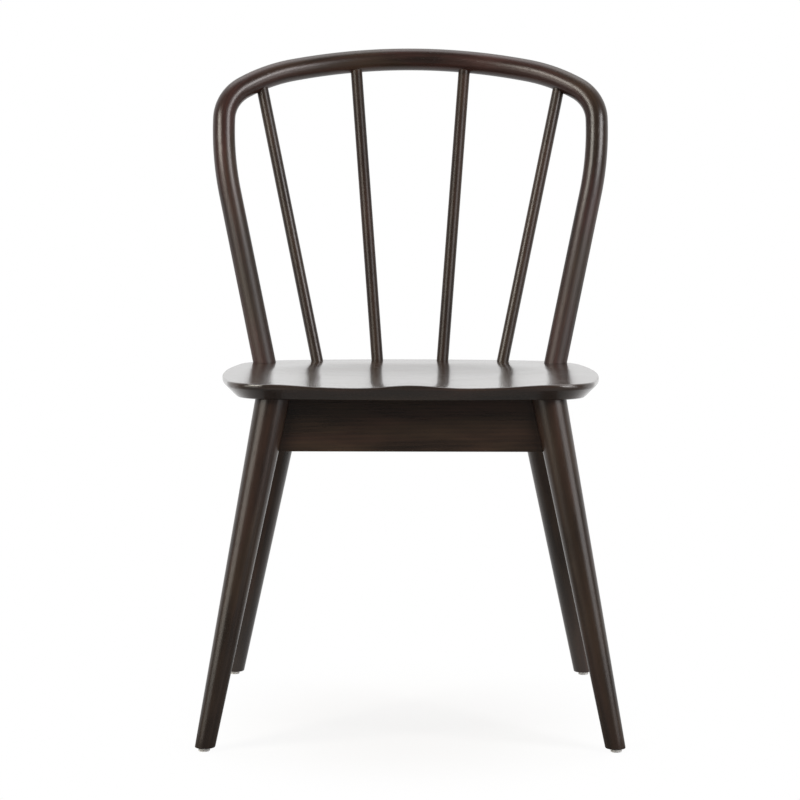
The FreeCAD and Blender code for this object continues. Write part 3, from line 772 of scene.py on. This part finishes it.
def shoulders(x, rise, heading, bends):
    """The arcs that follow each other from a point, and where they end."""
    arcs = []
    for turn, radius in bends:
        arcs.append(Bend(x, rise, heading, turn, radius))
        x, rise, heading = arcs[-1].at(1.0)
    return arcs, (x, rise, heading)


def bow_outline(sizes):
    """Points (x, rise) of the right half of the bow, from foot to crest."""
    bends = ((sizes.lower_turn, sizes.lower_radius), (sizes.corner_turn, sizes.corner_radius),
             (sizes.upper_turn, sizes.upper_radius))
    splay = sizes.splay
    x, rise, heading = shoulders(0.0, 0.0, splay, bends)[1]
    crest_turn = math.pi / 2 + heading
    half = math.tan(crest_turn / 2)
    arm = (sizes.rise - rise - (sizes.foot_x + x) * half) / (math.cos(splay) + math.sin(splay) * half)
    start_x = sizes.foot_x + arm * math.sin(splay)
    arcs, end = shoulders(start_x, arm * math.cos(splay), splay, bends)
    arcs.append(Bend(*end, crest_turn, end[0] / math.sin(crest_turn)))
    steps = math.ceil(arm / sizes.spacing)
    marks = [(sizes.foot_x + arm * step / steps * math.sin(splay), arm * step / steps * math.cos(splay))
             for step in range(steps)]
    for arc in arcs:
        steps = math.ceil(max(arc.turn * arc.radius / sizes.spacing, arc.turn / BEND_STEP))
        marks += [arc.at(step / steps)[:2] for step in range(steps)]
    return marks + [(0.0, sizes.rise)]


def bow_path(sizes):
    """The bow's centre line from the left foot over the crest to the right foot."""
    foot_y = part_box("seat_panel")[1].y - sizes.inset
    foot_z = seat_top_z(foot_y)
    right = []
    for x, rise in bow_outline(sizes):
        y = foot_y - x * x / (2 * sizes.curve_radius) + math.tan(sizes.lean) * rise
        right.append(Vector((x, y, foot_z + rise)))
    return [Vector((-point.x, point.y, point.z)) for point in right[:-1]] + right[::-1]


def longer(path, by):
    """The path run on at both ends in its own direction."""
    first = path[0] + (path[0] - path[1]).normalized() * by
    last = path[-1] + (path[-1] - path[-2]).normalized() * by
    return [first] + path + [last]


def bow_tube(name, sizes, material, grow=0.0):
    """The bow as a plain tube that runs on into the seat, and may be grown all round."""
    tube = grown(name, longer(bow_path(sizes), sizes.diameter), tree_called("swept_tube", swept_tube_tree),
                 Diameter=sizes.diameter + 2 * grow, Sides=BOW_SIDES, Material=material)
    faces_outwards(tube)
    return tube


def rod(name, start, end, radius, bevel, material):
    """A plain round rod between two points, bevelled at its start."""
    run = (end - start).length
    profile = [(0, 0, 0), (radius - bevel, 0, 0), (radius, 0, bevel), (radius, 0, run), (0, 0, run)]
    piece = lathed(name, profile, ROD_SIDES, material)
    turn = (end - start).to_track_quat("Z", "Y").to_matrix().to_4x4()
    piece.data.transform(Matrix.Translation(start) @ turn)
    faces_outwards(piece)
    return piece


def upper_tenon(node, axis, turned, material, spare=0.0, gap=0.0, bevel=0.0):
    """A rod for a spindle's upper tenon, or for its socket, which is longer and thicker.

    It runs down past the tenon's shoulder by the tenon's own length.
    """
    drop = turned.tenon_diameter / 2 * math.sqrt(1 - axis.way.z ** 2)
    end = axis.at(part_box(node)[1].z - drop)
    return rod("tenon", end + axis.way * spare, end - axis.way * 2 * turned.tenon_in_bow,
               turned.tenon_diameter / 2 + gap, bevel, material)


class CHAIR_OT_bow(bpy.types.Operator):
    """Sweep the bent bow along its path, tenon its feet and drill it for the spindles"""

    bl_idname = "chair.bow"
    bl_label = "Bow"

    def execute(self, context):
        sizes, turned = context.scene.chair_bow, context.scene.chair_turned
        finishes = context.scene.chair_finishes
        material = stained_wood("bow_wood", finishes, shift=cut("bow"), rubbed=True,
                                redness=finishes.bow_redness, gloss=finishes.bow_gloss)
        bow = bow_tube("hoop_bow", sizes, material)
        path = bow_path(sizes)
        point, up = seat_plane()
        trim(bow, point + up * turned.joint_gap, up)
        for foot, above in ((path[0], path[1]), (path[-1], path[-2])):
            way = (above - foot).normalized()
            tenon = rod("bow_tenon", foot - way * sizes.tenon_length, foot + way * sizes.diameter,
                        sizes.tenon_diameter / 2, turned.tenon_bevel, material)
            join_or_carve(bow, tenon, "UNION")
            bpy.data.objects.remove(tenon)
        for node in SPINDLE_NODES:
            socket = upper_tenon(node, Axis(node, *SPINDLE_LEVELS), turned, material,
                                 spare=turned.socket_spare, gap=turned.fit_gap)
            join_or_carve(bow, socket, "DIFFERENCE")
            bpy.data.objects.remove(socket)
        smooth_faces(bow)
        stands_for(bow, "back_bow")
        return {"FINISHED"}


# How much rougher than on the legs the lacquer is on each spindle, and its specular level
SPINDLE_LACQUER = {"inner": (0.09, 0.24), "outer": (0.04, 0.42)}


class CHAIR_OT_spindles(bpy.types.Operator):
    """Turn the four plain spindles, with a tenon at each end and the top coped to the bow"""

    bl_idname = "chair.spindles"
    bl_label = "Spindles"

    def execute(self, context):
        sizes, turned = context.scene.chair_bow, context.scene.chair_turned
        finishes = context.scene.chair_finishes
        around_bow = bow_tube("around_bow", sizes, None, grow=turned.joint_gap)
        for number, node in enumerate(SPINDLE_NODES):
            axis = Axis(node, *SPINDLE_LEVELS)
            rougher, gloss = SPINDLE_LACQUER[node.rsplit("_", 1)[1]]
            material = stained_wood(node + "_wood", finishes, shift=cut("spindle", number),
                                    sheen=finishes.sheen + rougher, gloss=gloss)
            spindle = self.turned_body(node, axis, turned, material)
            join_or_carve(spindle, around_bow, "DIFFERENCE")
            keep_tallest(spindle)
            tenon = upper_tenon(node, axis, turned, material, bevel=turned.tenon_bevel)
            join_or_carve(spindle, tenon, "UNION")
            bpy.data.objects.remove(tenon)
            smooth_faces(spindle)
            stands_for(spindle, node)
        bpy.data.objects.remove(around_bow)
        return {"FINISHED"}

    @staticmethod
    def turned_body(node, axis, turned, material):
        """The spindle from its lower tenon up into the bow, with level rings."""
        foot = seat_top_z(axis.at(SEAT_RIM_Z).y) + turned.joint_gap
        low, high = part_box(node)[0].z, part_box(node)[1].z
        radius, tenon = axis.radius_at(foot), turned.tenon_diameter / 2
        profile = [(0, 0, low), (tenon - turned.tenon_bevel, 0, low), (tenon, 0, low + turned.tenon_bevel),
                   (tenon, 0, foot)]
        for step in range(SPINDLE_RINGS + 1):
            profile.append((radius, 0, foot + (high - foot) * step / SPINDLE_RINGS))
        profile.append((0, 0, high))
        piece = lathed("turned_" + node, profile, ROD_SIDES, material)
        piece.data.transform(axis.leaned())
        faces_outwards(piece)
        return piece


class CHAIR_OT_legs(bpy.types.Operator):
    """Turn the four tapered legs, cut level at the floor and flat under the seat"""

    bl_idname = "chair.legs"
    bl_label = "Legs"

    def execute(self, context):
        turned, finishes = context.scene.chair_turned, context.scene.chair_finishes
        point, up = seat_plane()
        for number, corner in enumerate(CORNERS):
            node = "leg_" + corner
            material = stained_wood(node + "_wood", finishes, shift=cut("leg", number))
            leg = self.turned_body(node, Axis(node, *LEG_LEVELS), turned.end_rounding, material)
            trim(leg, point - up * turned.seat_thickness, -up)
            smooth_faces(leg)
            stands_for(leg, node)
        return {"FINISHED"}

    @staticmethod
    def turned_body(node, axis, rounding, material):
        """The leg from its rounded lower edge up to a little above its place under the seat."""
        low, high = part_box(node)[0].z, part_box(node)[1].z + rounding
        profile = [(0, 0, low)]
        for step in range(ROUNDING_STEPS + 1):
            turn = math.pi / 2 * step / ROUNDING_STEPS
            height = low + rounding * (1 - math.cos(turn))
            profile.append((axis.radius_at(height) - rounding * (1 - math.sin(turn)), 0, height))
        for step in range(1, LEG_RINGS + 1):
            height = low + rounding + (high - low - rounding) * step / LEG_RINGS
            profile.append((axis.radius_at(height), 0, height))
        profile.append((0, 0, high))
        leg = lathed("turned_" + node, profile, LEG_SIDES, material)
        leg.data.transform(axis.leaned())
        faces_outwards(leg)
        return leg


# How much of the stained wood's relief shows through the lacquer of the aprons and of the seat
APRON_RELIEF = 0.35
SEAT_RELIEF = 0.12


class CHAIR_OT_boards(bpy.types.Operator):
    """Soften the long edges of the aprons and the corner blocks and give them their grain"""

    bl_idname = "chair.boards"
    bl_label = "Aprons and corner blocks"

    def execute(self, context):
        sizes, finishes = context.scene.chair_boards, context.scene.chair_finishes
        for number, place in enumerate((*ROWS, *SIDES)):
            node = "apron_" + place
            material = stained_wood(node + "_wood", finishes, UNTURNED if place in ROWS else QUARTER_TURN,
                                    cut("apron", number), relief=APRON_RELIEF)
            stands_for(self.softened(node, sizes, material), node)
        for number, corner in enumerate(CORNERS):
            node = "corner_block_" + corner
            turn = (0.0, 0.0, math.pi / 4 * (1 if "left" in corner else -1))
            material = raw_wood(node + "_wood", finishes.block_wood, turn, cut("block", number),
                                finishes.block_roughness)
            stands_for(self.softened(node, sizes, material), node)
        return {"FINISHED"}

    @staticmethod
    def softened(node, sizes, material):
        """A copy of a node whose long edges are softened."""
        shape = bmesh.new()
        shape.from_mesh(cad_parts[node].data)
        bmesh.ops.remove_doubles(shape, verts=shape.verts, dist=MERGE_WITHIN)
        bmesh.ops.dissolve_limit(shape, angle_limit=FLAT_ANGLE, verts=shape.verts, edges=shape.edges)
        long_edges = [edge for edge in shape.edges
                      if edge.calc_length() > sizes.shortest_softened and len(edge.link_faces) == 2
                      and edge.calc_face_angle() > CORNER_ANGLE]
        bmesh.ops.bevel(shape, geom=long_edges, offset=sizes.arris, segments=ARRIS_STEPS, profile=0.5,
                        affect="EDGES", clamp_overlap=True)
        mesh = bpy.data.meshes.new(node)
        shape.to_mesh(mesh)
        shape.free()
        mesh.materials.append(material)
        piece = linked("softened_" + node, mesh)
        smooth_faces(piece)
        weighted = piece.modifiers.new("flat faces", "WEIGHTED_NORMAL")
        weighted.keep_sharp = True
        settle(piece)
        return piece


class CHAIR_OT_seat(bpy.types.Operator):
    """Stain and lacquer the saddled seat, whose grain runs from side to side"""

    bl_idname = "chair.seat"
    bl_label = "Seat"

    def execute(self, context):
        finishes = context.scene.chair_finishes
        wood = stained_wood("seat_wood", finishes, UNTURNED, cut("seat"), sheen=finishes.seat_sheen,
                            coat=finishes.seat_coat, relief=SEAT_RELIEF)
        give("seat_panel", wood)
        return {"FINISHED"}


class CHAIR_OT_glides(bpy.types.Operator):
    """Finish the white glides under the legs"""

    bl_idname = "chair.glides"
    bl_label = "Glides"

    def execute(self, context):
        material = glide_plastic(context.scene.chair_finishes)
        for corner in CORNERS:
            give("glide_" + corner, material)
        return {"FINISHED"}


class CHAIR_OT_fasteners(bpy.types.Operator):
    """Finish the dowels, screws and nails"""

    bl_idname = "chair.fasteners"
    bl_label = "Dowels, screws and nails"

    def execute(self, context):
        finishes = context.scene.chair_finishes
        steel = fastener_steel(finishes)
        for node in STEEL_NODES:
            give(node, steel)
        for way, turn, places in (("crosswise", UNTURNED, ROWS), ("lengthwise", QUARTER_TURN, SIDES)):
            wood = raw_wood("dowel_wood_" + way, finishes.dowel_wood, turn, cut("dowel"),
                            finishes.dowel_roughness)
            for place in places:
                give("apron_dowels_" + place, wood)
        return {"FINISHED"}


# Each lamp's place, the point that it faces, its width and height, and its power in watts
LAMPS = {
    "left_lamp": ((-2.02, -1.50, 1.90), (0.0, 0.0, 0.7), (1.35, 0.9), 50.0),
    "right_lamp": ((2.02, -1.56, 1.90), (0.0, 0.0, 0.7), (1.35, 0.9), 50.0),
    "low_left_lamp": ((-2.12, -1.46, 0.62), (0.0, 0.0, 0.5), (1.5, 0.75), 12.0),
    "low_right_lamp": ((2.12, -1.50, 0.62), (0.0, 0.0, 0.5), (1.5, 0.75), 12.0),
    "top_lamp": ((0.0, 0.9, 2.7), (0.0, 0.0, 0.6), (2.4, 1.2), 14.0),
}
WHITE = (1.0, 1.0, 1.0, 1.0)

# Width of the camera's sensor in millimetres
SENSOR_WIDTH = 36.0

# How much of its reach the full painted shadow takes, and how far before the chair the floor starts to
# whiten
PAINTED_SHADOW_CORE = 0.25
SWEEP_LEAD = 0.4

# How far the ceiling counts as behind the chair, and where the white wall begins and is full
WALL_LEAN = 0.15
WALL_FADE = (-0.10, 0.55)


class CHAIR_OT_studio(bpy.types.Operator):
    """Set up the pale floor, the lamps and the camera"""

    bl_idname = "chair.studio"
    bl_label = "Studio"

    def execute(self, context):
        settings = context.scene.chair_studio
        context.scene.view_settings.view_transform = "Standard"
        self.add_floor(settings)
        self.add_surroundings(context.scene, settings)
        for name, (place, aim, size, power) in LAMPS.items():
            tint = settings.left_tint if place[0] < 0 else settings.right_tint
            self.add_lamp(name, place, aim, size, power, tint)
        self.add_camera(context.scene, settings)
        return {"FINISHED"}

    def add_floor(self, settings):
        shape = bmesh.new()
        bmesh.ops.create_circle(shape, cap_ends=True, segments=FLOOR_SIDES, radius=settings.floor_radius)
        mesh = bpy.data.meshes.new("floor")
        shape.to_mesh(mesh)
        shape.free()
        mesh.materials.append(self.floor_finish(settings))
        floor = linked("floor", mesh)

    @staticmethod
    def floor_finish(settings):
        """White to the camera, with a faint painted shadow under the chair in which the lamps' real shadow
        shows, and dark in front as the chair sees it.
        """
        finish = Finish("floor_finish")
        spot = finish.place()
        spread = (1 / settings.painted_shadow_width, 1 / settings.painted_shadow_depth, 0.0)
        centre = (0.0, settings.painted_shadow_forward / settings.painted_shadow_depth, 0.0)
        shrunk = finish.add("ShaderNodeVectorMath", {"operation": "MULTIPLY_ADD"},
                            {0: spot, 1: spread, 2: centre})
        reach = finish.add("ShaderNodeVectorMath", {"operation": "LENGTH"}, {0: shrunk}).of("Value")
        # Painted shadow: inside this ellipse the white floor gives way to the lit floor, which is darker
        # even where nothing shades it and carries the chair's real shadow
        shadow = finish.between(reach, PAINTED_SHADOW_CORE, 1.0, settings.painted_shadow_share, 0.0)
        start = settings.sweep_start
        swept = finish.between(finish.parts(spot).of("Y"), -SWEEP_LEAD * start, start)
        path = finish.add("ShaderNodeLightPath")
        camera = path.of("Is Camera Ray")
        mirrored = (path.of("Is Glossy Ray") + path.of("Is Transmission Ray")) * swept
        seen = finish.math("MINIMUM", camera + mirrored, 1.0)
        dark = tinted(settings.floor_colour, settings.front_share)
        ground = finish.mix(finish.math("MAXIMUM", swept, camera), dark, tinted(settings.floor_colour))
        plain = finish.add("ShaderNodeBsdfDiffuse", {}, {"Color": ground})
        white = finish.add("ShaderNodeEmission", {}, {"Color": WHITE, "Strength": 1.0})
        mixed = finish.add("ShaderNodeMixShader", {}, {0: seen * (1.0 - shadow), 1: plain, 2: white})
        finish.tree.nodes.remove(finish.surface)
        finish.feed(finish.tree.nodes["Material Output"].inputs["Surface"], mixed)
        return finish.material

    @staticmethod
    def add_surroundings(scene, settings):
        """White behind the chair and to the camera, and dimmer where the camera stands."""
        world = bpy.data.worlds.new("studio")
        world.use_nodes = True
        scene.world = world
        tree = Tree(world.node_tree)
        ground = world.node_tree.nodes["Background"]
        way = tree.parts(tree.add("ShaderNodeTexCoord").of("Generated"))
        behind = tree.between(way.of("Y") + way.of("Z") * WALL_LEAN, *WALL_FADE,
                              settings.before, settings.behind)
        camera = tree.add("ShaderNodeLightPath").of("Is Camera Ray")
        tree.feed(ground.inputs["Strength"], camera + (1.0 - camera) * behind)
        tree.feed(ground.inputs["Color"], WHITE)

    @staticmethod
    def add_lamp(name, place, aim, size, power, tint):
        lamp = bpy.data.lights.new(name, "AREA")
        lamp.color = tint
        lamp.shape = "RECTANGLE"
        lamp.size, lamp.size_y = size
        lamp.energy = power
        holder = linked(name, lamp)
        holder.location = place
        holder.rotation_euler = (Vector(aim) - Vector(place)).to_track_quat("-Z", "Y").to_euler()

    @staticmethod
    def add_camera(scene, settings):
        camera = bpy.data.cameras.new("camera")
        camera.lens = settings.lens
        camera.sensor_width = SENSOR_WIDTH
        holder = linked("camera", camera)
        eye_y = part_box("seat_panel")[0].y - settings.eye_distance
        place = Matrix.Translation((settings.eye_aside, eye_y, settings.eye_height))
        tilt = Matrix.Rotation(math.pi / 2 - settings.pitch, 4, "X")
        holder.matrix_world = place @ tilt @ Matrix.Rotation(settings.roll, 4, "Z")
        scene.camera = holder


OPERATORS = (CHAIR_OT_studio, CHAIR_OT_seat, CHAIR_OT_bow, CHAIR_OT_spindles, CHAIR_OT_legs,
             CHAIR_OT_boards, CHAIR_OT_glides, CHAIR_OT_fasteners)
GROUPS = {"chair_bow": BowSizes, "chair_turned": TurnedSizes, "chair_boards": BoardSizes,
          "chair_finishes": Finishes, "chair_studio": StudioSettings}


class CHAIR_PT_panel(bpy.types.Panel):
    """The chair's sizes, finishes and building steps"""

    bl_idname = "CHAIR_PT_panel"
    bl_label = "Hoop-back chair"
    bl_space_type = "VIEW_3D"
    bl_region_type = "UI"
    bl_category = "Chair"

    def draw(self, context):
        for name, group in GROUPS.items():
            box = self.layout.box()
            for entry in group.__annotations__:
                box.prop(getattr(context.scene, name), entry)
        for operator in OPERATORS:
            self.layout.operator(operator.bl_idname)


CLASSES = (*GROUPS.values(), *OPERATORS, CHAIR_PT_panel)


def register():
    for kind in CLASSES:
        bpy.utils.register_class(kind)
    for name, group in GROUPS.items():
        setattr(bpy.types.Scene, name, bpy.props.PointerProperty(type=group))


def unregister():
    for name in GROUPS:
        delattr(bpy.types.Scene, name)
    for kind in reversed(CLASSES):
        bpy.utils.unregister_class(kind)


def main():
    register()
    for operator in OPERATORS:
        group, name = operator.bl_idname.split(".")
        getattr(getattr(bpy.ops, group), name)()


if __name__ == "__main__":
    main()
